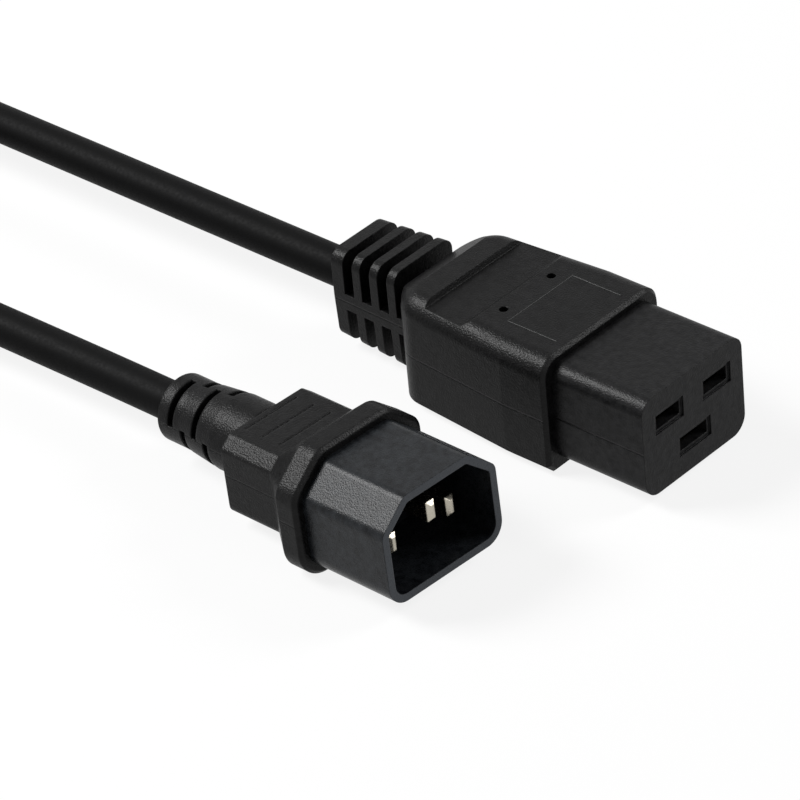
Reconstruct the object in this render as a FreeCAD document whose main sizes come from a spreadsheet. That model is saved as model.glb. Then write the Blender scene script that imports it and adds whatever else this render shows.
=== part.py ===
import FreeCAD, Part
import math
import os
import re
import Sketcher

# A power extension cord: a moulded socket and a moulded pin plug joined by a three core cord.
# Both lie side by side on a surface at Z 0, with the socket's mating face towards +X and its
# middle over the origin. Lengths are in millimetres and angles in degrees.

# Socket insert, seen from its mating face
SOCKET_INSERT_SIZES = (
    ("face_wide", 27.5),
    ("face_tall", 20.4),
    ("face_corner_low", 3.5),
    ("face_corner_top", 3.0),
    ("insert_reach", 20.4),
    ("insert_tail", 12.0),
    ("tail_inset", 1.4),
    ("slot_wide", 6.3),
    ("slot_tall", 2.8),
    ("earth_slot_wide", 7.3),
    ("earth_slot_tall", 2.7),
    ("slot_border", 0.75),
    ("border_deep", 0.4),
    ("power_apart", 13.0),
    ("power_rise", 4.0),
    ("earth_drop", 4.0),
    ("face_thick", 2.5),
    ("chamber_wide", 8.4),
    ("chamber_tall", 4.6),
)

# Contacts, pins and what is crimped in them
CONTACT_SIZES = (
    ("contact_wide", 6.0),
    ("earth_contact_wide", 7.0),
    ("leaf_thick", 0.5),
    ("contact_flare", 1.0),
    ("contact_pinch", 3.5),
    ("contact_leaf", 8.0),
    ("contact_strip", 10.0),
    ("pinch_gap", 1.0),
    ("flare_gap", 2.4),
    ("strip_thick", 0.8),
    ("barrel_long", 5.2),
    ("barrel_boss", 0.8),
    ("conductor_across", 1.3),
    ("conductor_short", 0.8),
    ("core_across", 2.5),
    ("core_clearance", 0.05),
    ("core_setback", 0.65),
    ("pin_thick", 2.0),
    ("pin_tall", 4.0),
    ("pin_tip_bevel", 0.7),
    ("power_pin_depth", 4.8),
    ("earth_pin_depth", 1.8),
    ("pin_pitch", 14.0),
    ("pin_offset", 2.0),
)

# Socket housing
SOCKET_HOUSING_SIZES = (
    ("body_wide", 32.0),
    ("body_tall", 24.0),
    ("body_straight", 10.1),
    ("body_taper", 25.0),
    ("body_corner", 4.5),
    ("taper_wide", 28.0),
    ("body_end_wide", 17.0),
    ("plan_round", 6.0),
    ("top_round", 4.0),
    ("low_bevel", 1.8),
    ("front_bevel", 0.7),
    ("slope_long", 4.8),
    ("slope_drop", 2.8),
    ("recess_deep", 1.1),
    ("recess_behind", 5.5),
    ("recess_floor", 8.8),
    ("recess_ramp", 1.6),
    ("recess_wall", 0.5),
    ("vent_ahead", 2.4),
    ("vent_across", 1.75),
    ("vent_deep", 2.5),
    ("relief_long", 18.3),
    ("relief_wide", 16.0),
    ("relief_tall", 21.2),
    ("relief_end_wide", 15.0),
    ("relief_end_tall", 19.0),
    ("relief_round", 2.5),
    ("relief_draft", 0.5),
    ("relief_pitch", 4.35),
    ("relief_slot", 2.4),
    ("spine_above", 1.2),
    ("spine_below", 2.2),
    ("sleeve_across", 10.6),
    ("mould_wide", 22.0),
    ("mould_tall", 15.0),
    ("jacket_inset", 5.0),
)

# Pin plug, measured from its rim and the axis of its shroud
PLUG_SIZES = (
    ("shroud_wide", 27.4),
    ("shroud_tall", 20.14),
    ("shroud_wall", 1.5),
    ("shroud_reach", 19.6),
    ("shroud_floor", 3.1),
    ("shroud_low_round", 4.0),
    ("shroud_edge_round", 2.4),
    ("chamfer_across", 15.4),
    ("chamfer_height", 4.9),
    ("plug_tail", 8.4),
    ("plug_tail_wide", 19.2),
    ("plug_tail_tall", 12.8),
    ("collar_wall", 1.9),
    ("collar_long", 4.6),
    ("collar_bevel", 0.7),
    ("ramp_long", 5.8),
    ("grip_wide", 22.6),
    ("grip_above", 7.3),
    ("grip_below", 8.4),
    ("grip_long", 13.4),
    ("grip_low_round", 2.0),
    ("grip_bevel", 2.5),
    ("grip_edge_round", 1.0),
    ("grip_end_bevel", 0.9),
    ("grip_line_wide", 12.5),
    ("grip_line_thick", 0.4),
    ("grip_line_deep", 0.3),
    ("grip_line_pitch", 4.3),
    ("grip_line_inset", 2.3),
    ("plug_mould_wide", 18.0),
    ("plug_mould_above", 4.5),
    ("plug_mould_below", 6.0),
    ("plug_jacket_inset", 3.5),
    ("cord_drop", 0.5),
    ("boot_root", 14.6),
    ("boot_end", 12.8),
    ("boot_shoulder_at", 7.5),
    ("boot_waist_at", 16.5),
    ("boot_long", 22.6),
    ("boot_end_bevel", 0.8),
    ("boot_sleeve", 9.4),
    ("boot_slot", 1.5),
    ("boot_pitch", 3.3),
    ("boot_slot_angle", 94.0),
    ("boot_slot_turn", 40.0),
    ("boot_end_ring", 3.25),
)

# Where the plug lies, the cord and its coil
LAYOUT_SIZES = (
    ("plug_ahead", 25.25),
    ("plug_aside", 50.7),
    ("plug_yaw", 3.22),
    ("plug_pitch", 2.84),
    ("cord_across", 7.5),
    ("coil_ahead", 193.5),
    ("coil_outer_turn", 51.0),
    ("coil_inner_turn", 30.0),
    ("coil_tall", 15.0),
    ("coil_stub", 28.5),
    ("coil_exit_angle", 312.0),
    ("coil_exit_run", 20.0),
    ("plug_exit_run", 28.3),
    ("tie_wide", 8.0),
    ("tie_thick", 1.0),
    ("tie_slack", 0.5),
    ("tie_angle", 150.0),
)

# Where the plug lead turns into line with the plug, measured from the origin
PLUG_LEAD_TURN = (-98.7, -47.0, 8.8)

AXES = {"X": FreeCAD.Vector(1, 0, 0), "Y": FreeCAD.Vector(0, 1, 0), "Z": FreeCAD.Vector(0, 0, 1)}

doc = FreeCAD.newDocument("power_extension_cord")
sheet = doc.addObject("Spreadsheet::Sheet", "sizes")
row = 0
for group in (SOCKET_INSERT_SIZES, CONTACT_SIZES, SOCKET_HOUSING_SIZES, PLUG_SIZES, LAYOUT_SIZES):
    for name, number in group:
        row += 1
        sheet.set("A%d" % row, name)
        sheet.set("B%d" % row, str(number))
        sheet.setAlias("B%d" % row, name)
doc.recompute()

nodes = []


# Formulas, sketches and features

def formula(text):
    """The text with each size's name turned into a reference to the sheet."""
    return re.sub(r"\b[a-z][a-z_]*\b(?!\()", lambda name: "sizes." + name.group(), text)


def value(text):
    """The number that a formula gives now."""
    return float(sheet.evalExpression(formula(text)))


def bind(thing, setting, text):
    thing.setExpression(setting, formula(text))


def new_body(name):
    return doc.addObject("PartDesign::Body", name)


def new_sketch(body, role, offset="0", drop="0", turn="0"):
    """A sketch on one of the body's origin planes, set off along its normal, lowered and turned about X."""
    sketch = body.newObject("Sketcher::SketchObject", body.Name + "_sketch")
    plane = [feature for feature in body.Origin.OriginFeatures if feature.Role == role][0]
    sketch.AttachmentSupport = [(plane, "")]
    sketch.MapMode = "FlatFace"
    rotation = FreeCAD.Rotation(AXES["X"], value(turn))
    sketch.AttachmentOffset = FreeCAD.Placement(FreeCAD.Vector(0, 0, 0), rotation)
    bind(sketch, "AttachmentOffset.Base.z", offset)
    bind(sketch, "AttachmentOffset.Base.y", "-(%s)" % drop)
    return sketch


def section(body, at):
    """A sketch across the X axis, where its own axes are Y and Z."""
    return new_sketch(body, "YZ_Plane", offset=at)


def fix(sketch, kind, where, number, text):
    """One dimension of the sketch, tied to the sheet."""
    index = sketch.addConstraint(Sketcher.Constraint(kind, *where, number))
    bind(sketch, "Constraints[%d]" % index, text)


def corner_cuts(before, spot, after, radius):
    """Both ends of the arc that rounds a corner, its centre, and whether it turns left."""
    back = (before - spot).normalize()
    ahead = (after - spot).normalize()
    half_turn = (math.pi - back.getAngle(ahead)) / 2
    cut = radius * math.tan(half_turn)
    middle = (back + ahead).normalize()
    centre = spot + middle * (radius / math.cos(half_turn))
    return spot + back * cut, spot + ahead * cut, centre, back.cross(ahead).z < 0


def outline(sketch, corners):
    """A closed outline through the corners. A third formula rounds its corner with an arc."""
    count = len(corners)
    spots = [FreeCAD.Vector(value(corner[0]), value(corner[1]), 0) for corner in corners]
    first = sketch.GeometryCount
    cuts = []
    for i, corner in enumerate(corners):
        if len(corner) > 2:
            cuts.append(corner_cuts(spots[i - 1], spots[i], spots[(i + 1) % count], value(corner[2])))
        else:
            cuts.append((spots[i], spots[i], None, True))
    for i in range(count):
        sketch.addGeometry(Part.LineSegment(cuts[i][1], cuts[(i + 1) % count][0]), False)
    for i, corner in enumerate(corners):
        arriving = first + (i - 1) % count
        leaving = first + i
        point = sketch.addGeometry(Part.Point(spots[i]), True)
        fix(sketch, "DistanceX", (-1, 1, point, 1), spots[i].x, corner[0])
        fix(sketch, "DistanceY", (-1, 1, point, 1), spots[i].y, corner[1])
        if len(corner) == 2:
            sketch.addConstraint(Sketcher.Constraint("Coincident", arriving, 2, leaving, 1))
            sketch.addConstraint(Sketcher.Constraint("Coincident", point, 1, leaving, 1))
            continue
        arrive, leave, centre, left = cuts[i]
        begin, end = (arrive, leave) if left else (leave, arrive)
        angles = [math.atan2((spot - centre).y, (spot - centre).x) for spot in (begin, end)]
        circle = Part.Circle(centre, AXES["Z"], (begin - centre).Length)
        arc = sketch.addGeometry(Part.ArcOfCircle(circle, angles[0], angles[1]), False)
        sketch.addConstraint(Sketcher.Constraint("Tangent", arriving, 2, arc, 1 if left else 2))
        sketch.addConstraint(Sketcher.Constraint("Tangent", arc, 2 if left else 1, leaving, 1))
        sketch.addConstraint(Sketcher.Constraint("PointOnObject", point, 1, arriving))
        sketch.addConstraint(Sketcher.Constraint("PointOnObject", point, 1, leaving))
        fix(sketch, "Radius", (arc,), value(corner[2]), corner[2])
    return sketch


def rectangle(sketch, left, right, low, high):
    return outline(sketch, [(left, low), (right, low), (right, high), (left, high)])


def circle(sketch, across, up, diameter):
    centre = FreeCAD.Vector(value(across), value(up), 0)
    index = sketch.addGeometry(Part.Circle(centre, AXES["Z"], value(diameter) / 2), False)
    fix(sketch, "DistanceX", (-1, 1, index, 3), centre.x, across)
    fix(sketch, "DistanceY", (-1, 1, index, 3), centre.y, up)
    fix(sketch, "Diameter", (index,), value(diameter), diameter)
    return sketch


def grow(body, sketch, length, symmetric=False):
    """Pad towards -X from a section, or to both sides of any other sketch."""
    feature = body.newObject("PartDesign::Pad", body.Name + "_pad")
    feature.Profile = sketch
    feature.Reversed = not symmetric
    if symmetric:
        feature.SideType = "Symmetric"
    bind(feature, "Length", length)
    return feature


def cut(body, sketch, length, symmetric=False):
    """Pocket towards -X from a section, or to both sides of any other sketch."""
    before = volume(body)
    feature = body.newObject("PartDesign::Pocket", body.Name + "_pocket")
    feature.Profile = sketch
    if symmetric:
        feature.SideType = "Symmetric"
    bind(feature, "Length", length)
    check_removed(body, before)
    return feature


def volume(body):
    doc.recompute()
    return body.Tip.Shape.Volume


def check_removed(body, before):
    """A cut that points away from the solid removes nothing and shows no error."""
    if not volume(body) < before:
        raise RuntimeError(body.Name + ": a cut removed nothing")


def repeat(body, feature, sketch, length, count):
    """Copies of a feature in a row towards -X."""
    before = volume(body)
    pattern = body.newObject("PartDesign::LinearPattern", body.Name + "_pattern")
    pattern.Originals = [feature]
    pattern.Direction = (sketch, ["H_Axis"])
    pattern.Reversed = True
    bind(pattern, "Length", length)
    pattern.Occurrences = count
    body.Tip = pattern
    check_removed(body, before)


def chosen_edges(body, wanted):
    """The body's last feature, with the names of its edges for which wanted says yes."""
    doc.recompute()
    base = body.Tip
    return base, ["Edge%d" % (i + 1) for i, edge in enumerate(base.Shape.Edges) if wanted(edge)]


def round_edges(body, radius, wanted):
    base = chosen_edges(body, wanted)
    feature = body.newObject("PartDesign::Fillet", body.Name + "_fillet")
    feature.Base = base
    bind(feature, "Radius", radius)


def bevel_edges(body, size, wanted):
    base = chosen_edges(body, wanted)
    feature = body.newObject("PartDesign::Chamfer", body.Name + "_chamfer")
    feature.Base = base
    bind(feature, "Size", size)


def lies_at(edge, axis, text):
    """Whether the whole edge lies in the plane across the axis at a formula's value."""
    box = edge.BoundBox
    low, high = getattr(box, axis + "Min"), getattr(box, axis + "Max")
    return abs(low - value(text)) < 0.01 and abs(high - value(text)) < 0.01


def keep(thing, label):
    """Mark a finished object as one of the cord's pieces."""
    thing.Label = label
    nodes.append(thing)
    return thing


def cut_away(name, base, tools):
    """The base less each tool in turn."""
    for tool in tools:
        difference = doc.addObject("Part::Cut", "%s_without_%s" % (name, tool.Name))
        difference.Base = base
        difference.Tool = tool
        base = difference
    return base


# Places

def place(x, y, z, yaw=0, pitch=0):
    turn = FreeCAD.Rotation(yaw, pitch, 0)
    return FreeCAD.Placement(FreeCAD.Vector(x, y, z), turn)


SOCKET_LENGTH = "insert_reach + body_straight + body_taper + body_corner + relief_long"
socket_frame = place(value("(%s) / 2" % SOCKET_LENGTH), 0, value("body_tall / 2"))
nose_up = math.radians(value("plug_pitch"))
plug_rise = (value("shroud_reach + collar_long") * math.sin(nose_up)
             + value("shroud_tall / 2 + collar_wall") * math.cos(nose_up))
plug_frame = place(value("plug_ahead"), -value("plug_aside"), plug_rise,
                   -value("plug_yaw"), -value("plug_pitch"))


def seat(frame, across="0", up="0", along="0"):
    """A place in the socket's or the plug's own frame."""
    return frame.multiply(place(value(along), value(across), value(up)))


SOCKET_POLES = {
    "line": ("power_apart / 2", "power_rise"),
    "neutral": ("-power_apart / 2", "power_rise"),
    "earth": ("0", "-earth_drop"),
}
PLUG_POLES = {
    "line": ("pin_pitch / 2", "-pin_offset"),
    "neutral": ("-pin_pitch / 2", "-pin_offset"),
    "earth": ("0", "pin_offset"),
}
CORE_ANGLES = {"socket": {"line": 30, "neutral": 150, "earth": 270},
               "plug": {"line": -30, "neutral": 210, "earth": 90}}


# Tubes

def bend_radius(before, spot, after):
    """As large as both runs allow: 0.45 of the shorter one over the tangent of half the turn."""
    shorter = min((spot - before).Length, (after - spot).Length)
    half_turn = (spot - before).getAngle(after - spot) / 2
    return 0.45 * shorter / math.tan(half_turn)


def route(points):
    """A wire of straight runs joined by tangent arcs, and the radii of its arcs."""
    edges = []
    radii = []
    start = points[0]
    for before, spot, after in zip(points, points[1:], points[2:]):
        radius = bend_radius(before, spot, after)
        radii.append(radius)
        back = (before - spot).normalize()
        ahead = (after - spot).normalize()
        half_turn = (math.pi - back.getAngle(ahead)) / 2
        reach = radius * math.tan(half_turn)
        middle = (back + ahead).normalize()
        deep = radius / math.cos(half_turn) - radius
        arc = Part.Arc(spot + back * reach, spot + middle * deep, spot + ahead * reach)
        edges.append(Part.LineSegment(start, spot + back * reach).toShape())
        edges.append(arc.toShape())
        start = spot + ahead * reach
    edges.append(Part.LineSegment(start, points[-1]).toShape())
    return Part.Wire(edges), radii


def tube(label, path, across):
    """A round tube along a wire, as one solid."""
    start = path.OrderedVertexes[0].Point
    way = path.OrderedVertexes[1].Point - start
    ring = Part.Circle(start, way, value(across) / 2).toShape()
    solid = path.makePipeShell([Part.Wire([ring])], True, True)
    share = solid.Volume / (math.pi * (value(across) / 2) ** 2 * path.Length)
    print("%s: length %.1f, volume over section times length %.4f" % (label, path.Length, share))
    feature = doc.addObject("Part::Feature", label)
    feature.Shape = solid
    return keep(feature, label)


# Conductors and the parts that they are crimped in

def barrel(body, root, boss="0"):
    """The crimp barrel behind a contact or pin, with a solid boss ahead of its root."""
    outside = section(body, "%s + %s" % (root, boss))
    grow(body, circle(outside, "0", "0", "core_across"), "barrel_long + " + boss)
    cut(body, circle(section(body, root), "0", "0", "conductor_across"), "barrel_long")


def socket_contact(pole, wide):
    """A folded strip: two sprung leaves that grip a blade, and a barrel behind them."""
    body = new_body("socket_contact_" + pole)
    mouth = "-(face_thick + contact_flare)"
    pinch = "-(face_thick + contact_pinch)"
    shoulder = "-(face_thick + contact_leaf)"
    rear = "-(insert_reach + insert_tail)"
    joint = rear + " + contact_strip"
    leaf = [
        (mouth, "flare_gap / 2"),
        (mouth, "flare_gap / 2 + leaf_thick"),
        (pinch, "pinch_gap / 2 + leaf_thick"),
        (shoulder, "chamber_tall / 2"),
        (joint, "chamber_tall / 2"),
        (joint + " - leaf_thick", "strip_thick / 2"),
        (rear, "strip_thick / 2"),
    ]
    inside = [
        (joint + " + leaf_thick", "chamber_tall / 2 - leaf_thick"),
        (shoulder, "chamber_tall / 2 - leaf_thick"),
        (pinch, "pinch_gap / 2"),
    ]
    lower = [(x, "-(%s)" % z) for x, z in reversed(leaf)]
    lower_inside = [(x, "-(%s)" % z) for x, z in reversed(inside)]
    profile = new_sketch(body, "XZ_Plane")
    outline(profile, leaf + lower + lower_inside + inside)
    grow(body, profile, wide, symmetric=True)
    barrel(body, rear, boss="barrel_boss")
    across, up = SOCKET_POLES[pole]
    body.Placement = seat(socket_frame, across, up)
    return keep(body, body.Name)


def plug_pin(pole, depth):
    """A solid blade with a bevelled tip, and the barrel behind it."""
    body = new_body("plug_pin_" + pole)
    root = "-(shroud_reach + plug_tail)"
    blade = section(body, "-" + depth)
    rectangle(blade, "-pin_thick / 2", "pin_thick / 2", "-pin_tall / 2", "pin_tall / 2")
    grow(body, blade, "shroud_reach + plug_tail - " + depth)
    bevel_edges(body, "pin_tip_bevel", lambda edge: lies_at(edge, "X", "-" + depth))
    barrel(body, root)
    across, up = PLUG_POLES[pole]
    body.Placement = seat(plug_frame, across, up)
    return keep(body, body.Name)


def wire_up(end, frame, poles, barrel_start, jacket_end, axis_up):
    """The bare conductor in each barrel and the insulated core from there to the jacket."""
    cores = []
    for pole, (across, up) in poles.items():
        crimp_end = value(barrel_start + " - barrel_long")
        bare = doc.addObject("Part::Cylinder", "%s_conductor_%s" % (end, pole))
        bind(bare, "Radius", "conductor_across / 2")
        bind(bare, "Height", "barrel_long - conductor_short")
        lying = FreeCAD.Placement(FreeCAD.Vector(0, 0, 0), FreeCAD.Rotation(AXES["Y"], 90))
        bare.Placement = seat(frame, across, up, str(crimp_end)).multiply(lying)
        keep(bare, bare.Name)
        angle = math.radians(CORE_ANGLES[end][pole])
        spread = value("(core_across + core_clearance) / sqrt(3)")
        begin = FreeCAD.Vector(crimp_end - value("core_setback"), value(across), value(up))
        finish = FreeCAD.Vector(value(jacket_end + " + core_setback"), spread * math.cos(angle),
                                value(axis_up) + spread * math.sin(angle))
        core = rod("%s_core_%s" % (end, pole), finish, begin, "core_across")
        core.Placement = frame.multiply(core.Placement)
        cores.append(keep(core, core.Name))
    return cores


def rod(name, start, end, across):
    """A straight round bar between two points."""
    piece = doc.addObject("Part::Cylinder", name)
    bind(piece, "Radius", "(%s) / 2" % across)
    piece.Height = (end - start).Length
    piece.Placement = FreeCAD.Placement(start, FreeCAD.Rotation(AXES["Z"], end - start))
    return piece


def inner_mould(end, frame, poles, front, wide, low, high):
    """The stiff block that is moulded over the barrels before the housing."""
    body = new_body(end + "_inner_mould")
    block = section(body, front)
    rectangle(block, "-%s / 2" % wide, "%s / 2" % wide, low, high)
    grow(body, block, "barrel_long")
    for across, up in poles.values():
        cut(body, circle(section(body, front), across, up, "core_across"), "barrel_long")
    body.Placement = frame
    return keep(body, body.Name)


# Socket insert

def socket_insert():
    """The hard block of the mating face, with a chamber for each contact."""
    body = new_body("socket_insert")
    face = section(body, "0")
    outline(face, [
        ("-face_wide / 2", "-face_tall / 2", "face_corner_low"),
        ("face_wide / 2", "-face_tall / 2", "face_corner_low"),
        ("face_wide / 2", "face_tall / 2", "face_corner_top"),
        ("-face_wide / 2", "face_tall / 2", "face_corner_top"),
    ])
    grow(body, face, "insert_reach")
    tail = section(body, "-insert_reach")
    rectangle(tail, "-(face_wide / 2 - tail_inset)", "face_wide / 2 - tail_inset",
              "-(face_tall / 2 - tail_inset)", "face_tall / 2 - tail_inset")
    grow(body, tail, "insert_tail")
    for pole, (across, up) in SOCKET_POLES.items():
        wide, tall = ("earth_slot_wide", "earth_slot_tall") if pole == "earth" else ("slot_wide", "slot_tall")
        opening(body, "0", across, up, wide + " + 2 * slot_border", tall + " + 2 * slot_border",
                "border_deep")
        opening(body, "-border_deep", across, up, wide, tall, "face_thick - border_deep")
        opening(body, "-face_thick", across, up, "chamber_wide", "chamber_tall",
                "insert_reach + insert_tail - face_thick")
    body.Placement = socket_frame
    return keep(body, body.Name)


def opening(body, at, across, up, wide, tall, deep):
    """A rectangular hole in a section of the body."""
    hole = section(body, at)
    rectangle(hole, "%s - (%s) / 2" % (across, wide), "%s + (%s) / 2" % (across, wide),
              "%s - (%s) / 2" % (up, tall), "%s + (%s) / 2" % (up, tall))
    cut(body, hole, deep)


# Socket housing

BODY_FRONT = "-insert_reach"
BODY_REAR = "-(insert_reach + body_straight + body_taper + body_corner)"


def socket_housing():
    """The housing's solid form, with the places of the insert and of the inner mould."""
    body = new_body("socket_housing")
    taper_start = BODY_FRONT + " - body_straight"
    corner = taper_start + " - body_taper"
    left = [
        (BODY_FRONT, "body_wide / 2"),
        (taper_start, "body_wide / 2"),
        (corner, "taper_wide / 2", "plan_round"),
        (BODY_REAR, "body_end_wide / 2", "plan_round"),
    ]
    right = [(point[0], "-" + point[1]) + point[2:] for point in reversed(left)]
    plan = new_sketch(body, "XY_Plane")
    outline(plan, left + right)
    grow(body, plan, "body_tall", symmetric=True)
    round_edges(body, "top_round", lambda edge: lies_at(edge, "Z", "body_tall / 2")
                and not lies_at(edge, "X", BODY_FRONT))
    bevel_edges(body, "low_bevel", lambda edge: lies_at(edge, "Z", "-body_tall / 2")
                and not lies_at(edge, "X", BODY_FRONT))
    bevel_edges(body, "front_bevel", lambda edge: lies_at(edge, "X", BODY_FRONT))
    rear_slope(body)
    finger_recess(body)
    vents = new_sketch(body, "XY_Plane", offset="body_tall / 2")
    vent_at = BODY_REAR + " + recess_behind + body_corner + recess_floor + recess_ramp + vent_ahead"
    circle(vents, vent_at, "power_apart / 2", "vent_across")
    circle(vents, vent_at, "-power_apart / 2", "vent_across")
    cut(body, vents, "vent_deep")
    strain_relief(body)
    hollow = section(body, BODY_FRONT)
    rectangle(hollow, "-(face_wide / 2 - tail_inset)", "face_wide / 2 - tail_inset",
              "-(face_tall / 2 - tail_inset)", "face_tall / 2 - tail_inset")
    cut(body, hollow, "insert_tail")
    hollow = section(body, BODY_FRONT + " - insert_tail")
    rectangle(hollow, "-mould_wide / 2", "mould_wide / 2", "-mould_tall / 2", "mould_tall / 2")
    cut(body, hollow, "barrel_long")
    body.Placement = socket_frame
    return body


def rear_slope(body):
    """The flat arch that falls to the rear face."""
    slope = new_sketch(body, "XZ_Plane")
    outline(slope, [
        (BODY_REAR + " + slope_long", "body_tall / 2"),
        (BODY_REAR, "body_tall / 2 - slope_drop"),
        (BODY_REAR + " - slope_long", "body_tall / 2 - slope_drop"),
        (BODY_REAR + " - slope_long", "body_tall / 2 + slope_drop"),
        (BODY_REAR + " + slope_long", "body_tall / 2 + slope_drop"),
    ])
    cut(body, slope, "body_wide", symmetric=True)


def finger_recess(body):
    """The shallow trough across the top, steep at its rear and sloped at its front."""
    recess = new_sketch(body, "XZ_Plane")
    rear = BODY_REAR + " + body_corner + recess_behind"
    floor = "body_tall / 2 - recess_deep"
    above = "body_tall / 2 + recess_deep"
    outline(recess, [
        (rear + " - recess_wall", "body_tall / 2"),
        (rear, floor),
        (rear + " + recess_floor", floor),
        (rear + " + recess_floor + recess_ramp", "body_tall / 2"),
        (rear + " + recess_floor + recess_ramp", above),
        (rear + " - recess_wall", above),
    ])
    cut(body, recess, "body_wide", symmetric=True)


def relief_section(body, at, wide, tall):
    """The strain relief's section, a little narrower at the bottom."""
    return outline(section(body, at), [
        ("-(%s / 2 - relief_draft)" % wide, "-%s / 2" % tall, "relief_round"),
        ("%s / 2 - relief_draft" % wide, "-%s / 2" % tall, "relief_round"),
        ("%s / 2" % wide, "0"),
        ("%s / 2" % wide, "%s / 2" % tall, "relief_round"),
        ("-%s / 2" % wide, "%s / 2" % tall, "relief_round"),
        ("-%s / 2" % wide, "0"),
    ])


def strain_relief(body):
    """Fins on a spine round the cord's sleeve: a lofted block, slotted above and below the spine."""
    loft = body.newObject("PartDesign::AdditiveLoft", "relief_loft")
    loft.Profile = relief_section(body, BODY_REAR, "relief_wide", "relief_tall")
    loft.Sections = [relief_section(body, BODY_REAR + " - relief_long", "relief_end_wide", "relief_end_tall")]
    loft.Ruled = True
    slots = new_sketch(body, "XZ_Plane")
    rear = BODY_REAR + " - relief_slot"
    rectangle(slots, rear, BODY_REAR, "spine_above", "relief_tall")
    rectangle(slots, rear, BODY_REAR, "-relief_tall", "-spine_below")
    slot = cut(body, slots, "2 * relief_wide", symmetric=True)
    repeat(body, slot, slots, "3 * relief_pitch", 4)
    grow(body, circle(section(body, BODY_REAR), "0", "0", "sleeve_across"), "relief_long")


# Plug insert and housing

def shroud_outline(sketch, out, low_round, edge_round):
    """The shroud's outline with its two cut corners, set off by a wall."""
    rise = "(shroud_tall / 2 - chamfer_height)"
    run = "(shroud_wide / 2 - chamfer_across / 2)"
    side = "(shroud_wide / 2 + %s)" % out
    top = "(shroud_tall / 2 + %s)" % out
    shoulder_y = "(chamfer_across / 2 + (%s) * tan(atan(%s / %s) / 2))" % (out, rise, run)
    shoulder_z = "chamfer_height + (%s) * tan(atan(%s / %s) / 2)" % (out, run, rise)
    return outline(sketch, [
        ("-" + side, "-" + top, low_round),
        (side, "-" + top, low_round),
        (side, shoulder_z, edge_round),
        (shoulder_y, top, edge_round),
        ("-" + shoulder_y, top, edge_round),
        ("-" + side, shoulder_z, edge_round),
    ])


def plug_insert():
    """The shroud round the pins, its floor, and the tail that the housing grips."""
    body = new_body("plug_insert")
    rim = shroud_outline(section(body, "0"), "0", "shroud_low_round", "shroud_edge_round")
    grow(body, rim, "shroud_reach")
    tail = section(body, "-shroud_reach")
    rectangle(tail, "-plug_tail_wide / 2", "plug_tail_wide / 2", "-plug_tail_tall / 2", "plug_tail_tall / 2")
    grow(body, tail, "plug_tail")
    mouth = shroud_outline(section(body, "0"), "-shroud_wall",
                           "shroud_low_round - shroud_wall", "shroud_edge_round - shroud_wall")
    cut(body, mouth, "shroud_reach - shroud_floor")
    for across, up in PLUG_POLES.values():
        opening(body, "-(shroud_reach - shroud_floor)", across, up, "pin_thick", "pin_tall",
                "shroud_floor + plug_tail")
    body.Placement = plug_frame
    return keep(body, body.Name)


def grip_section(body, at):
    """The grip's section behind the collar. Its upper bevels are parallel to the shroud's."""
    bevel_tall = "grip_bevel * (shroud_tall / 2 - chamfer_height) / (shroud_wide / 2 - chamfer_across / 2)"
    return outline(section(body, at), [
        ("-grip_wide / 2", "-grip_below", "grip_low_round"),
        ("grip_wide / 2", "-grip_below", "grip_low_round"),
        ("grip_wide / 2", "grip_above - " + bevel_tall, "grip_edge_round"),
        ("grip_wide / 2 - grip_bevel", "grip_above", "grip_edge_round"),
        ("-(grip_wide / 2 - grip_bevel)", "grip_above", "grip_edge_round"),
        ("-grip_wide / 2", "grip_above - " + bevel_tall, "grip_edge_round"),
    ])


COLLAR_REAR = "-(shroud_reach + collar_long)"
GRIP_FRONT = "-(shroud_reach + collar_long + ramp_long)"
GRIP_REAR = "-(shroud_reach + collar_long + ramp_long + grip_long)"


def collar_section(body, at):
    return shroud_outline(section(body, at), "collar_wall",
                          "shroud_low_round + collar_wall", "shroud_edge_round + collar_wall")


def plug_housing():
    """Collar, ramp, grip and slotted boot, with the places of the insert and of the inner mould."""
    body = new_body("plug_housing")
    grow(body, collar_section(body, "-shroud_reach"), "collar_long")
    bevel_edges(body, "collar_bevel", lambda edge: lies_at(edge, "X", "-shroud_reach"))
    ramp = body.newObject("PartDesign::AdditiveLoft", "ramp_loft")
    ramp.Profile = collar_section(body, COLLAR_REAR)
    ramp.Sections = [grip_section(body, GRIP_FRONT)]
    ramp.Ruled = True
    grow(body, grip_section(body, GRIP_FRONT), "grip_long")
    bevel_edges(body, "grip_end_bevel", lambda edge: lies_at(edge, "X", GRIP_REAR))
    lines = new_sketch(body, "XZ_Plane")
    first_line = GRIP_REAR + " + grip_line_inset + 2 * grip_line_pitch"
    rectangle(lines, first_line + " - grip_line_thick / 2", first_line + " + grip_line_thick / 2",
              "grip_above - grip_line_deep", "grip_above + grip_line_deep")
    line = cut(body, lines, "grip_line_wide", symmetric=True)
    repeat(body, line, lines, "2 * grip_line_pitch", 3)
    boot(body)
    hollow = section(body, "-shroud_reach")
    rectangle(hollow, "-plug_tail_wide / 2", "plug_tail_wide / 2",
              "-plug_tail_tall / 2", "plug_tail_tall / 2")
    cut(body, hollow, "plug_tail")
    hollow = section(body, "-(shroud_reach + plug_tail)")
    rectangle(hollow, "-plug_mould_wide / 2", "plug_mould_wide / 2", "-plug_mould_below", "plug_mould_above")
    cut(body, hollow, "barrel_long")
    body.Placement = plug_frame
    return body


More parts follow.
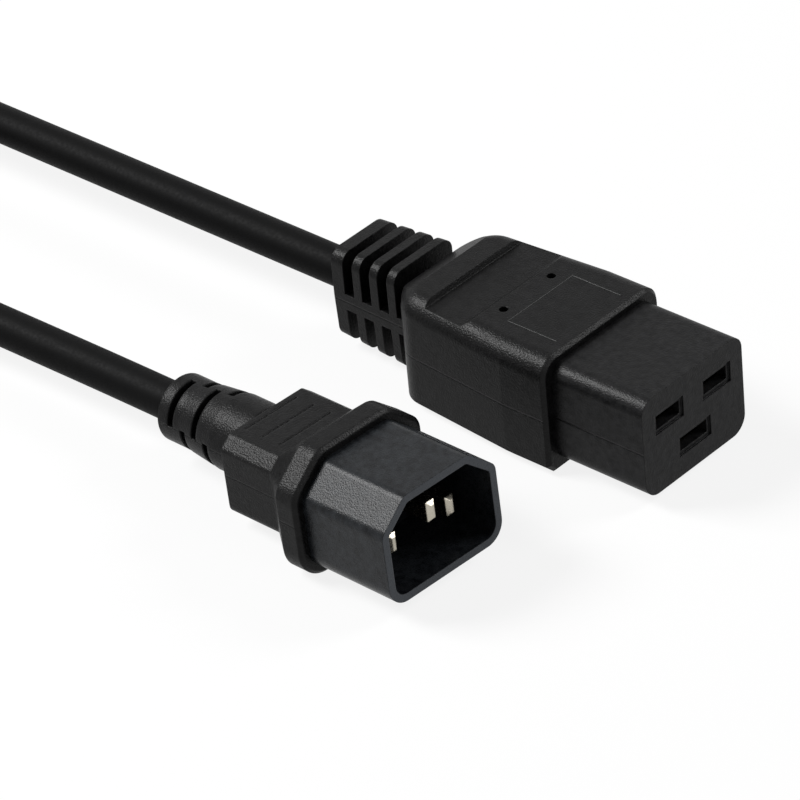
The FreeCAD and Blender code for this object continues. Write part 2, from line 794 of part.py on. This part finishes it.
def boot(body):
    """The round strain relief: a turned form with crosswise pairs of slots down to its sleeve."""
    profile = new_sketch(body, "XZ_Plane", drop="cord_drop")
    outline(profile, [
        (GRIP_REAR, "0"),
        (GRIP_REAR, "boot_root / 2"),
        (GRIP_REAR + " - boot_shoulder_at", "boot_root / 2"),
        (GRIP_REAR + " - boot_waist_at", "boot_end / 2"),
        (GRIP_REAR + " - boot_long + boot_end_bevel", "boot_end / 2"),
        (GRIP_REAR + " - boot_long", "boot_end / 2 - boot_end_bevel"),
        (GRIP_REAR + " - boot_long", "0"),
    ])
    turned = body.newObject("PartDesign::Revolution", "boot_turned")
    turned.Profile = profile
    turned.ReferenceAxis = (profile, ["H_Axis"])
    turned.Angle = 360
    for ring in range(4):
        for half in range(2):
            boot_slot(body, ring, "boot_slot_turn + 90 * %d + 180 * %d" % (ring % 2, half))


def boot_slot(body, ring, turn):
    """One slot, a groove over part of a turn about the cord's axis."""
    before = volume(body)
    profile = new_sketch(body, "XZ_Plane", drop="cord_drop", turn=turn)
    front = GRIP_REAR + " - boot_long + boot_end_ring + boot_slot + boot_pitch * %d" % ring
    rectangle(profile, front + " - boot_slot", front, "boot_sleeve / 2", "boot_root")
    groove = body.newObject("PartDesign::Groove", "boot_slot")
    groove.Profile = profile
    groove.ReferenceAxis = (profile, ["H_Axis"])
    groove.Midplane = True
    bind(groove, "Angle", "boot_slot_angle")
    check_removed(body, before)


# Cord, coil and tie

def socket_lead():
    """The straight stretch from the socket to the coil."""
    jacket_end = seat(socket_frame, along=BODY_REAR + " + jacket_inset").Base
    coil_end = FreeCAD.Vector(value("-coil_ahead + coil_stub"), 0, socket_frame.Base.z)
    lead = rod("cord_socket_lead", coil_end, jacket_end, "cord_across")
    return keep(lead, lead.Name)


def coil_exit():
    """Where the coil's stub towards the plug begins, and its direction."""
    angle = math.radians(value("coil_exit_angle"))
    reach = value("coil_outer_turn")
    start = FreeCAD.Vector(value("-coil_ahead") + reach * math.cos(angle),
                           value("-coil_outer_turn") + reach * math.sin(angle), value("cord_across / 2"))
    return start, FreeCAD.Vector(-math.sin(angle), math.cos(angle), 0)


def plug_lead():
    """The stretch from the coil over the surface to the plug's boot."""
    start, way = coil_exit()
    jacket_end = GRIP_REAR + " - plug_jacket_inset"
    path, radii = route([
        start + way * value("coil_stub"),
        start + way * value("coil_stub + coil_exit_run"),
        FreeCAD.Vector(*PLUG_LEAD_TURN),
        seat(plug_frame, up="-cord_drop", along=jacket_end + " - plug_exit_run").Base,
        seat(plug_frame, up="-cord_drop", along=jacket_end).Base,
    ])
    print("cord_plug_lead radii:", [round(radius, 1) for radius in radii])
    return tube("cord_plug_lead", path, "cord_across")


def coil_tie():
    """The strap round the coil's section."""
    body = new_body("coil_tie")
    inner = "coil_inner_turn - cord_across / 2 - tie_slack"
    outer = "coil_outer_turn + cord_across / 2 + tie_slack"
    loop = new_sketch(body, "XZ_Plane")
    rectangle(loop, inner + " - tie_thick", outer + " + tie_thick", "0", "coil_tall + tie_thick")
    rectangle(loop, inner, outer, "tie_thick", "coil_tall")
    grow(body, loop, "tie_wide", symmetric=True)
    body.Placement = place(value("-coil_ahead"), value("-coil_outer_turn"), 0, value("tie_angle"))
    return keep(body, body.Name)


def coil(tie):
    """The outer form of the coiled length, with a stub where each lead leaves it."""
    body = new_body("coil_ring")
    profile = new_sketch(body, "XZ_Plane")
    inner = "coil_inner_turn - cord_across / 2"
    outer = "coil_outer_turn + cord_across / 2"
    rectangle(profile, inner, outer, "0", "coil_tall")
    ring = body.newObject("PartDesign::Revolution", "coil_turned")
    ring.Profile = profile
    ring.ReferenceAxis = (profile, ["V_Axis"])
    ring.Angle = 360
    body.Placement = place(value("-coil_ahead"), value("-coil_outer_turn"), 0)
    socket_start = FreeCAD.Vector(value("-coil_ahead"), 0, socket_frame.Base.z)
    to_socket = stub("stub_to_socket", socket_start, AXES["X"])
    to_plug = stub("stub_to_plug", *coil_exit())
    whole = doc.addObject("Part::MultiFuse", "coil_whole")
    whole.Shapes = [body, to_socket, to_plug]
    return keep(cut_away("cord_coil", whole, [tie]), "cord_coil")


def stub(name, start, way):
    return rod(name, start, start + way * value("coil_stub"), "cord_across")


# Assembly

socket_insert()
for name in SOCKET_POLES:
    socket_contact(name, "earth_contact_wide" if name == "earth" else "contact_wide")
socket_back = "-(insert_reach + insert_tail)"
inner_mould("socket", socket_frame, SOCKET_POLES, socket_back,
            "mould_wide", "-mould_tall / 2", "mould_tall / 2")
socket_cores = wire_up("socket", socket_frame, SOCKET_POLES, socket_back, BODY_REAR + " + jacket_inset", "0")
socket_cord = socket_lead()
keep(cut_away("socket_overmould", socket_housing(), socket_cores + [socket_cord]), "socket_overmould")

plug_insert()
for name in PLUG_POLES:
    plug_pin(name, "earth_pin_depth" if name == "earth" else "power_pin_depth")
plug_back = "-(shroud_reach + plug_tail)"
inner_mould("plug", plug_frame, PLUG_POLES, plug_back,
            "plug_mould_wide", "-plug_mould_below", "plug_mould_above")
plug_cores = wire_up("plug", plug_frame, PLUG_POLES, plug_back,
                     GRIP_REAR + " - plug_jacket_inset", "-cord_drop")
plug_cord = plug_lead()
keep(cut_away("plug_overmould", plug_housing(), plug_cores + [plug_cord]), "plug_overmould")

coil(coil_tie())

# Checks and files

doc.recompute()
for thing in doc.Objects:
    if "Invalid" in thing.State or "Error" in thing.State:
        raise RuntimeError("%s is in state %s" % (thing.Label, thing.State))
for thing in nodes:
    if thing.Shape.isNull() or not thing.Shape.isValid() or len(thing.Shape.Solids) != 1:
        raise RuntimeError(thing.Label + " is not one valid solid")

os.makedirs("parts", exist_ok=True)
for thing in nodes:
    thing.Shape.exportStep("parts/%s.step" % thing.Label)
    box = thing.Shape.BoundBox
    print("%-24s volume %9.1f  x %8.2f %8.2f  y %7.2f %7.2f  z %6.2f %6.2f"
          % (thing.Label, thing.Shape.Volume, box.XMin, box.XMax, box.YMin, box.YMax, box.ZMin, box.ZMax))
print("%d pieces" % len(nodes))
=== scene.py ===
import bmesh
import bpy
import math
from mathutils import Matrix, Vector


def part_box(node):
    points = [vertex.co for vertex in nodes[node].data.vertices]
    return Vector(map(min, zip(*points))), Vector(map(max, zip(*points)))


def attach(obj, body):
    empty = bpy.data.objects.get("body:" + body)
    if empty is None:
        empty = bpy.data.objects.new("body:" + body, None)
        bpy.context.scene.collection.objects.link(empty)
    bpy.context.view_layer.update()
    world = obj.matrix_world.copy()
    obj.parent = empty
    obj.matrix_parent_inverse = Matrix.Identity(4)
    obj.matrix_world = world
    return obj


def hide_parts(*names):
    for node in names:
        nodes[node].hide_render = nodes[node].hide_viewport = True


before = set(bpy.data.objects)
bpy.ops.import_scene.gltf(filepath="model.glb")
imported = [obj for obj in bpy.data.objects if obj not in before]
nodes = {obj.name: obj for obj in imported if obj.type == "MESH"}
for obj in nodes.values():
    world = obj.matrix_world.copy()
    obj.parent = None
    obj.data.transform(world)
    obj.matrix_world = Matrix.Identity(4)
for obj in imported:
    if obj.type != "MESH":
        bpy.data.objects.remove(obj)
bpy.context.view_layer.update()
MM = 0.001

# The cord's facts and its route, in metres

CORD_ACROSS = 7.5 * MM
SPLINE_RESOLUTION = 8
BEVEL_RESOLUTION = 10
SOCKET_AXIS_HEIGHT = 12 * MM
JACKET_START = Vector((-15.85, 0, 12)) * MM
SOCKET_EXIT = Vector((-39.15, 0, 12)) * MM
SOCKET_LEAD_ALONG = (-80 * MM, -125 * MM, -165 * MM)
COIL_CENTRE = Vector((-193.5, -51, 0)) * MM
COIL_OUTER_TURN = 51 * MM
COIL_INNER_TURN = 30 * MM
COIL_DIP = 1 * MM
UPPER_LAYER = 11.25 * MM
LOWER_LAYER = 3.75 * MM
COIL_POINTS = 119
# Degrees about the coil's centre: where the cord enters, where it starts and ends its way down, and leaves
COIL_ENTRY = 90
COIL_DOWN_FROM = 1101
COIL_DOWN_TO = 1461
COIL_LEAVES = 2472
COIL_STEP = (COIL_LEAVES - COIL_ENTRY) / COIL_POINTS
PLUG_LEAD = [
    Vector((-138.19, -69.83, 3.75)) * MM,
    Vector((-123.33, -56.45, 3.75)) * MM,
    Vector((-98.7, -47.0, 8.8)) * MM,
    Vector((-84.5, -46.85, 8.86)) * MM,
    Vector((-49.71, -46.48, 8.93)) * MM,
    Vector((-21.49, -48.07, 10.33)) * MM,
]


def blend_value(low, high, share):
    """A smooth step from low to high."""
    share = min(max(share, 0), 1)
    return low + (high - low) * (1 - math.cos(math.pi * share)) / 2


def socket_lead_points():
    """The straight stretch behind the socket."""
    return [JACKET_START, SOCKET_EXIT] + [Vector((x, 0, SOCKET_AXIS_HEIGHT)) for x in SOCKET_LEAD_ALONG]


def coil_points():
    """The upper layer winds in, steps down near the middle, and the lower layer winds out."""
    points = []
    for i in range(COIL_POINTS):
        angle = COIL_ENTRY + COIL_STEP * (i + 0.5)
        down = (angle - COIL_DOWN_FROM) / (COIL_DOWN_TO - COIL_DOWN_FROM)
        if down < 0:
            share = (angle - COIL_ENTRY) / (COIL_DOWN_FROM - COIL_ENTRY)
            radius = COIL_OUTER_TURN + (COIL_INNER_TURN - COIL_OUTER_TURN) * share
        elif down < 1:
            radius = COIL_INNER_TURN - COIL_DIP * math.sin(math.pi * down)
        else:
            share = (angle - COIL_DOWN_TO) / (COIL_LEAVES - COIL_DOWN_TO)
            radius = COIL_INNER_TURN + (COIL_OUTER_TURN - COIL_INNER_TURN) * share
        reach = radius / math.cos(math.radians(COIL_STEP / 2))
        turn = math.radians(angle)
        height = blend_value(UPPER_LAYER, LOWER_LAYER, down)
        points.append(COIL_CENTRE + Vector((reach * math.cos(turn), reach * math.sin(turn), height)))
    return points


def make_cord(material):
    route = socket_lead_points() + coil_points() + PLUG_LEAD
    curve = bpy.data.curves.new("cord_jacket", "CURVE")
    curve.dimensions = "3D"
    spline = curve.splines.new("NURBS")
    spline.points.add(len(route) - 1)
    for point, spot in zip(spline.points, route):
        point.co = (*spot, 1)
    spline.order_u = 3
    spline.use_endpoint_u = True
    spline.resolution_u = SPLINE_RESOLUTION
    curve.bevel_depth = CORD_ACROSS / 2
    curve.bevel_resolution = BEVEL_RESOLUTION
    curve.use_fill_caps = True
    curve.materials.append(material)
    cord = bpy.data.objects.new("cord_jacket", curve)
    bpy.context.scene.collection.objects.link(cord)
    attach(cord, "root")
    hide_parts("cord_socket_lead", "cord_coil", "cord_plug_lead")


# Materials

# The range that the noise mostly stays in
NOISE_LOW = 0.3
NOISE_HIGH = 0.7
MOTTLE = 1.3 * MM
WAVE = 9 * MM
WAVE_DEPTH = 0.05 * MM
COAT_ROUGHNESS = 0.32
EDGE_SAMPLES = 6
SEAM_WIDTH = 0.5 * MM
SEAM_DEPTH = 0.15 * MM
# The parting line's painted shade: a darker colour standing for the shade in its groove
SEAM_PAINTED_SHADE = (0.002, 0.002, 0.002)
# A seam shows on faces that look along the axis less than this
SEAM_LEAN = 0.6
# An end face, such as the rim with its painted highlight, looks along the axis more than this
RIM_HIGHLIGHT_LEAN = 0.9
METAL_FILM = 1.5 * MM
METAL_GRAIN = 0.2 * MM
METAL_DEPTH = 0.004 * MM


def new_material(name):
    material = bpy.data.materials.new(name)
    material.use_nodes = True
    tree = material.node_tree
    return material, tree, tree.nodes["Principled BSDF"]


def place_on_object(tree):
    """The point's place in the object's own metres."""
    return tree.nodes.new("ShaderNodeTexCoord").outputs["Object"]


def noise(tree, size, detail):
    """Noise with features of about the given size."""
    texture = tree.nodes.new("ShaderNodeTexNoise")
    texture.inputs["Scale"].default_value = 1 / size
    texture.inputs["Detail"].default_value = detail
    tree.links.new(place_on_object(tree), texture.inputs["Vector"])
    return texture.outputs["Fac"]


def spread(tree, fac, low, high):
    """The noise stretched over a range of values."""
    stretch = tree.nodes.new("ShaderNodeMapRange")
    stretch.inputs["From Min"].default_value = NOISE_LOW
    stretch.inputs["From Max"].default_value = NOISE_HIGH
    stretch.inputs["To Min"].default_value = low
    stretch.inputs["To Max"].default_value = high
    tree.links.new(fac, stretch.inputs["Value"])
    return stretch.outputs["Result"]


def maths(tree, operation, first, second=0.0):
    """One step of arithmetic. The second term is a number or another node's output."""
    node = tree.nodes.new("ShaderNodeMath")
    node.operation = operation
    tree.links.new(first, node.inputs[0])
    if isinstance(second, float):
        node.inputs[1].default_value = second
    else:
        tree.links.new(second, node.inputs[1])
    return node.outputs[0]


def dot_product(tree, vector, direction):
    node = tree.nodes.new("ShaderNodeVectorMath")
    node.operation = "DOT_PRODUCT"
    node.inputs[1].default_value = direction
    tree.links.new(vector, node.inputs[0])
    return node.outputs["Value"]


def lean(tree, axis):
    """How far the face looks along the axis, from minus one to one."""
    return dot_product(tree, tree.nodes.new("ShaderNodeNewGeometry").outputs["True Normal"], axis)


def mixed(tree, share, first, second):
    """The second colour over the first one, which is a colour or another node's output."""
    node = tree.nodes.new("ShaderNodeMix")
    node.data_type = "RGBA"
    if isinstance(first, tuple):
        node.inputs["A"].default_value = (*first, 1)
    else:
        tree.links.new(first, node.inputs["A"])
    node.inputs["B"].default_value = (*second, 1)
    tree.links.new(share, node.inputs["Factor"])
    return node.outputs["Result"]


def soft_edges(tree, radius):
    """The surface's direction with its sharp edges rounded, as a mould leaves them."""
    node = tree.nodes.new("ShaderNodeBevel")
    node.samples = EDGE_SAMPLES
    node.inputs["Radius"].default_value = radius
    return node.outputs["Normal"]


def bump(tree, height, distance, after=None):
    node = tree.nodes.new("ShaderNodeBump")
    node.inputs["Strength"].default_value = 1
    node.inputs["Distance"].default_value = distance
    tree.links.new(height, node.inputs["Height"])
    if after is not None:
        tree.links.new(after, node.inputs["Normal"])
    return node.outputs["Normal"]


def parting_line(tree, seam):
    """One in the middle of the mould's parting line, zero beside it and on faces that look along the axis."""
    up, height, axis = seam
    level = dot_product(tree, place_on_object(tree), up)
    away = maths(tree, "ABSOLUTE", maths(tree, "SUBTRACT", level, height))
    fade = tree.nodes.new("ShaderNodeMapRange")
    fade.inputs["From Max"].default_value = SEAM_WIDTH / 2
    fade.inputs["To Min"].default_value = 1
    fade.inputs["To Max"].default_value = 0
    tree.links.new(away, fade.inputs["Value"])
    aside = maths(tree, "LESS_THAN", maths(tree, "ABSOLUTE", lean(tree, axis)), SEAM_LEAN)
    return maths(tree, "MULTIPLY", fade.outputs["Result"], aside)


def rim_highlight_mask(tree, axis, start):
    """The mask of a painted highlight: one on faces that look along the axis and lie past its start, such as
    a rim, and zero elsewhere.
    """
    along = dot_product(tree, place_on_object(tree), axis)
    return maths(tree, "MULTIPLY", maths(tree, "GREATER_THAN", lean(tree, axis), RIM_HIGHLIGHT_LEAN),
                 maths(tree, "GREATER_THAN", along, start))


def moulded_plastic(name, dark, light, roughness, grain, depth, specular=0.5, coat=0.0, edge=0.0,
                    seam=None, end=None):
    """Mottled plastic from a spark eroded mould: fine pits, faint waves, soft edges, a parting line darkened
    with painted shade, and a painted highlight on an end face.
    """
    material, tree, shader = new_material(name)
    pits = noise(tree, grain, detail=1.5)
    waves = noise(tree, WAVE, detail=1.0)
    mottle = spread(tree, noise(tree, MOTTLE, detail=3.0), 0, 1)
    colour = mixed(tree, mottle, dark, light)
    shader.inputs["Specular IOR Level"].default_value = specular
    tree.links.new(spread(tree, pits, *roughness), shader.inputs["Roughness"])
    normal = bump(tree, pits, depth, after=soft_edges(tree, edge) if edge else None)
    normal = bump(tree, waves, WAVE_DEPTH, after=normal)
    if seam:
        line = parting_line(tree, seam)
        normal = bump(tree, maths(tree, "MULTIPLY", line, -1.0), SEAM_DEPTH, after=normal)
        # Painted shade: the colour is darkened along the parting line, standing for the shade in its groove
        colour = mixed(tree, line, colour, SEAM_PAINTED_SHADE)
    # A painted highlight: faces that look along the axis past its start, such as a rim, get a paler colour
    if end:
        axis, start, painted_rim_highlight = end
        colour = mixed(tree, rim_highlight_mask(tree, axis, start), colour, painted_rim_highlight)
    tree.links.new(colour, shader.inputs["Base Color"])
    tree.links.new(normal, shader.inputs["Normal"])
    if coat:
        shader.inputs["Coat Weight"].default_value = coat
        shader.inputs["Coat Roughness"].default_value = COAT_ROUGHNESS
        tree.links.new(normal, shader.inputs["Coat Normal"])
    return material


def metal(name, dark, light, roughness, edge=0.0):
    """Plated or drawn metal under a thin uneven film."""
    material, tree, shader = new_material(name)
    film = noise(tree, METAL_FILM, detail=3.0)
    fine = noise(tree, METAL_GRAIN, detail=2.0)
    shader.inputs["Metallic"].default_value = 1.0
    tree.links.new(mixed(tree, film, dark, light), shader.inputs["Base Color"])
    tree.links.new(spread(tree, fine, *roughness), shader.inputs["Roughness"])
    normal = bump(tree, fine, METAL_DEPTH, after=soft_edges(tree, edge) if edge else None)
    tree.links.new(normal, shader.inputs["Normal"])
    return material


PLUG_YAW = math.radians(3.22)
PLUG_PITCH = math.radians(2.84)
PLUG_AXIS = Vector((math.cos(PLUG_YAW) * math.cos(PLUG_PITCH), -math.sin(PLUG_YAW) * math.cos(PLUG_PITCH),
                    math.sin(PLUG_PITCH)))
PLUG_UP = PLUG_AXIS.cross(Vector((math.sin(PLUG_YAW), math.cos(PLUG_YAW), 0)))
SOCKET_SEAM_BELOW = 0.4 * MM
PLUG_SEAM_ABOVE = 0.5 * MM
RIM_AHEAD = 38 * MM
# Each parting plane as its direction up, its height along that, and the axis of the moulding
SOCKET_SEAM = ((0, 0, 1), SOCKET_AXIS_HEIGHT - SOCKET_SEAM_BELOW, (1, 0, 0))
PLUG_SEAM = (PLUG_UP, PLUG_UP.dot(PLUG_LEAD[-1]) + PLUG_SEAM_ABOVE, PLUG_AXIS)
# Along the plug's axis, between the floor of its cavity and its rim, where the rim's painted highlight starts
RIM_START = PLUG_AXIS.dot(PLUG_LEAD[-1]) + RIM_AHEAD

PVC = {
    "dark": (0.001, 0.001, 0.0011),
    "light": (0.0056, 0.0056, 0.0058),
    "roughness": (0.3, 0.4),
    "grain": 0.3 * MM,
    "specular": 0.01,
    "coat": 0.24,
}
SOCKET_PVC = moulded_plastic("socket_pvc", depth=0.1 * MM, edge=0.25 * MM, seam=SOCKET_SEAM, **PVC)
PLUG_PVC = moulded_plastic("plug_pvc", depth=0.1 * MM, edge=0.6 * MM, seam=PLUG_SEAM, **PVC)
SOCKET_FRAME = moulded_plastic("socket_frame_pvc", depth=0.02 * MM, **PVC)
SOCKET_FACE = moulded_plastic("socket_insert_plastic", (0.003, 0.003, 0.0033), (0.012, 0.012, 0.0125),
                              roughness=(0.3, 0.4), grain=0.28 * MM, depth=0.075 * MM, specular=0.01,
                              coat=0.24, edge=0.2 * MM, seam=SOCKET_SEAM)
# The shroud's rim gets a paler colour, a painted highlight in place of the light that its plastic reflects
SHROUD = moulded_plastic("shroud_plastic", (0.003, 0.0035, 0.0045), (0.0145, 0.0165, 0.019),
                         roughness=(0.24, 0.34), grain=0.28 * MM, depth=0.045 * MM, specular=0.1,
                         coat=0.08, edge=0.25 * MM, end=(PLUG_AXIS, RIM_START, (0.045, 0.05, 0.057)))
JACKET = moulded_plastic("jacket_pvc", (0.0016, 0.0016, 0.0017), (0.0024, 0.0024, 0.0025),
                         roughness=(0.5, 0.6), grain=0.6 * MM, depth=0.008 * MM, specular=0.05)
INNER = moulded_plastic("inner_mould_plastic", (0.04, 0.04, 0.04), (0.05, 0.05, 0.05),
                        roughness=(0.45, 0.6), grain=0.4 * MM, depth=0.03 * MM)
TIE = moulded_plastic("tie_nylon", (0.005, 0.005, 0.005), (0.008, 0.008, 0.008),
                      roughness=(0.5, 0.6), grain=0.5 * MM, depth=0.03 * MM, specular=0.1, edge=0.6 * MM)
PIN = metal("nickel_plate", (0.38, 0.35, 0.29), (0.48, 0.45, 0.38), (0.15, 0.28), edge=0.3 * MM)
CONTACT = metal("contact_brass", (0.55, 0.42, 0.2), (0.68, 0.55, 0.3), (0.25, 0.38))
COPPER = metal("bare_copper", (0.6, 0.26, 0.12), (0.72, 0.36, 0.2), (0.27, 0.4))
CORE = {"roughness": (0.3, 0.4), "grain": 0.5 * MM, "depth": 0.01 * MM}
CORE_LINE = moulded_plastic("core_brown", (0.1, 0.04, 0.015), (0.12, 0.05, 0.02), **CORE)
CORE_NEUTRAL = moulded_plastic("core_blue", (0.02, 0.1, 0.4), (0.03, 0.12, 0.45), **CORE)
CORE_EARTH = moulded_plastic("core_green", (0.08, 0.35, 0.05), (0.1, 0.4, 0.08), **CORE)

NODE_MATERIALS = {
    "socket_overmould": SOCKET_PVC,
    "plug_overmould": PLUG_PVC,
    "socket_insert": SOCKET_FACE,
    "plug_insert": SHROUD,
    "socket_inner_mould": INNER,
    "plug_inner_mould": INNER,
    "coil_tie": TIE,
}
for pole, core in (("line", CORE_LINE), ("neutral", CORE_NEUTRAL), ("earth", CORE_EARTH)):
    NODE_MATERIALS["socket_contact_" + pole] = CONTACT
    NODE_MATERIALS["plug_pin_" + pole] = PIN
    for connector in ("socket_", "plug_"):
        NODE_MATERIALS[connector + "core_" + pole] = core
        NODE_MATERIALS[connector + "conductor_" + pole] = COPPER

for name, material in NODE_MATERIALS.items():
    mesh = nodes[name].data
    mesh.materials.clear()
    mesh.materials.append(material)

make_cord(JACKET)


# The thin raised frame on the socket's top

FRAME_REAR = 4.95 * MM
FRAME_FRONT = 16.2 * MM
FRAME_ASIDE = 8.8 * MM
FRAME_WIDTH = 0.22 * MM
FRAME_CREST = 0.4
FRAME_PROUD = 0.06 * MM
FRAME_SUNK = 0.1 * MM


def ridge(mesh, start, end, sideways):
    """A low ridge with sloped sides between two points of the surface."""
    foot = sideways * FRAME_WIDTH / 2
    crest = foot * FRAME_CREST
    up = Vector((0, 0, FRAME_PROUD))
    down = Vector((0, 0, FRAME_SUNK))
    ring = (-foot - down, foot - down, foot, crest + up, -crest + up, -foot)
    rows = [[mesh.verts.new(spot + offset) for offset in ring] for spot in (start, end)]
    count = len(ring)
    for i in range(count):
        after = (i + 1) % count
        mesh.faces.new((rows[0][i], rows[0][after], rows[1][after], rows[1][i]))
    mesh.faces.new(reversed(rows[0]))
    mesh.faces.new(rows[1])


def make_socket_frame():
    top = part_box("socket_overmould")[1][2]
    rear = [Vector((FRAME_REAR, y, top)) for y in (-FRAME_ASIDE, FRAME_ASIDE)]
    front = [Vector((FRAME_FRONT, y, top)) for y in (-FRAME_ASIDE, FRAME_ASIDE)]
    shape = bmesh.new()
    ridge(shape, rear[0], rear[1], Vector((1, 0, 0)))
    for back, fore in zip(rear, front):
        ridge(shape, back, fore, Vector((0, 1, 0)))
    bmesh.ops.recalc_face_normals(shape, faces=shape.faces)
    mesh = bpy.data.meshes.new("socket_frame")
    shape.to_mesh(mesh)
    shape.free()
    mesh.materials.append(SOCKET_FRAME)
    piece = bpy.data.objects.new("socket_frame", mesh)
    bpy.context.scene.collection.objects.link(piece)
    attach(piece, "root")


make_socket_frame()


# Floor, light and camera. Places and sizes are in metres, and lamp powers in watts.

FLOOR_HALF = 6
FLOOR_DROP = 0.02 * MM
FLOOR_COLOUR = (0.86, 0.86, 0.86, 1)
FLOOR_ROUGHNESS = 0.9
# The share of the floor that is plain white to the camera. The rest shows the shadow.
FLOOR_WHITE = 0.85
WHITE = (1, 1, 1, 1)
WORLD_LIGHT = 0.05
LAMP_TARGET = Vector((0, -0.02, 0))
# Each lamp's name, place, size across and power
LAMPS = (
    ("key", Vector((-0.72, -0.44, 0.86)), 0.47, 17),
    ("back", Vector((0.5, 0.68, 0.68)), 0.35, 5),
    ("front", Vector((1.0, -0.1, 0.6)), 0.4, 1.5),
)
CAMERA_PLACE = Vector((524.45, -558.1, 527.7)) * MM
CAMERA_AZIMUTH = math.radians(44.94)
CAMERA_ELEVATION = math.radians(34.44)
CAMERA_ROLL = math.radians(-5.66)
CAMERA_REACH = 20
# In millimetres
SENSOR_WIDTH = 36
FOCAL_LENGTH = 232.4


def stage_colour(tree, lit, shown, share):
    """Mostly plain white to the camera and in reflections, and lit by the lamps for the rest."""
    path = tree.nodes.new("ShaderNodeLightPath")
    seen = path.outputs["Is Camera Ray"]
    for ray in ("Is Glossy Ray", "Is Transmission Ray"):
        seen = maths(tree, "MAXIMUM", seen, path.outputs[ray])
    mix = tree.nodes.new("ShaderNodeMixShader")
    tree.links.new(maths(tree, "MULTIPLY", seen, share), mix.inputs["Fac"])
    tree.links.new(lit, mix.inputs[1])
    tree.links.new(shown, mix.inputs[2])
    return mix.outputs["Shader"]


def make_floor():
    material, tree, shader = new_material("studio_floor")
    shader.inputs["Base Color"].default_value = FLOOR_COLOUR
    shader.inputs["Roughness"].default_value = FLOOR_ROUGHNESS
    shader.inputs["Specular IOR Level"].default_value = 0.0
    white = tree.nodes.new("ShaderNodeEmission")
    white.inputs["Strength"].default_value = 1.0
    surface = stage_colour(tree, shader.outputs["BSDF"], white.outputs["Emission"], FLOOR_WHITE)
    tree.links.new(surface, tree.nodes["Material Output"].inputs["Surface"])
    mesh = bpy.data.meshes.new("studio_floor")
    half = FLOOR_HALF
    corners = [(-half, -half, 0), (half, -half, 0), (half, half, 0), (-half, half, 0)]
    mesh.from_pydata(corners, [], [(0, 1, 2, 3)])
    mesh.materials.append(material)
    floor = bpy.data.objects.new("studio_floor", mesh)
    floor.location.z = -FLOOR_DROP
    bpy.context.scene.collection.objects.link(floor)


def make_world():
    world = bpy.data.worlds.new("studio_world")
    bpy.context.scene.world = world
    world.use_nodes = True
    tree = world.node_tree
    dim = tree.nodes["Background"]
    dim.inputs["Color"].default_value = WHITE
    dim.inputs["Strength"].default_value = WORLD_LIGHT
    bright = tree.nodes.new("ShaderNodeBackground")
    bright.inputs["Color"].default_value = WHITE
    bright.inputs["Strength"].default_value = 1.0
    surface = stage_colour(tree, dim.outputs["Background"], bright.outputs["Background"], 1.0)
    tree.links.new(surface, tree.nodes["World Output"].inputs["Surface"])


def soft_lamp(name, place, across, power):
    light = bpy.data.lights.new(name, "AREA")
    light.shape = "RECTANGLE"
    light.size = across
    light.size_y = across
    light.energy = power
    lamp = bpy.data.objects.new(name, light)
    lamp.location = place
    lamp.rotation_euler = (LAMP_TARGET - place).to_track_quat("-Z", "Y").to_euler()
    bpy.context.scene.collection.objects.link(lamp)


def make_camera():
    azimuth, elevation, roll = CAMERA_AZIMUTH, CAMERA_ELEVATION, CAMERA_ROLL
    back = Vector((math.sin(azimuth) * math.cos(elevation), -math.cos(azimuth) * math.cos(elevation),
                   math.sin(elevation)))
    right = Vector((math.cos(azimuth), math.sin(azimuth), 0))
    up = back.cross(right)
    across = right * math.cos(roll) + up * math.sin(roll)
    upward = up * math.cos(roll) - right * math.sin(roll)
    lens = bpy.data.cameras.new("camera")
    lens.sensor_width = SENSOR_WIDTH
    lens.lens = FOCAL_LENGTH
    lens.clip_end = CAMERA_REACH
    camera = bpy.data.objects.new("camera", lens)
    turn = Matrix((across, upward, back)).transposed()
    camera.matrix_world = Matrix.Translation(CAMERA_PLACE) @ turn.to_4x4()
    bpy.context.scene.collection.objects.link(camera)
    bpy.context.scene.camera = camera


make_floor()
make_world()
for name, place, across, power in LAMPS:
    soft_lamp(name, place, across, power)
make_camera()
bpy.context.scene.view_settings.view_transform = "Standard"

bpy.context.view_layer.update()
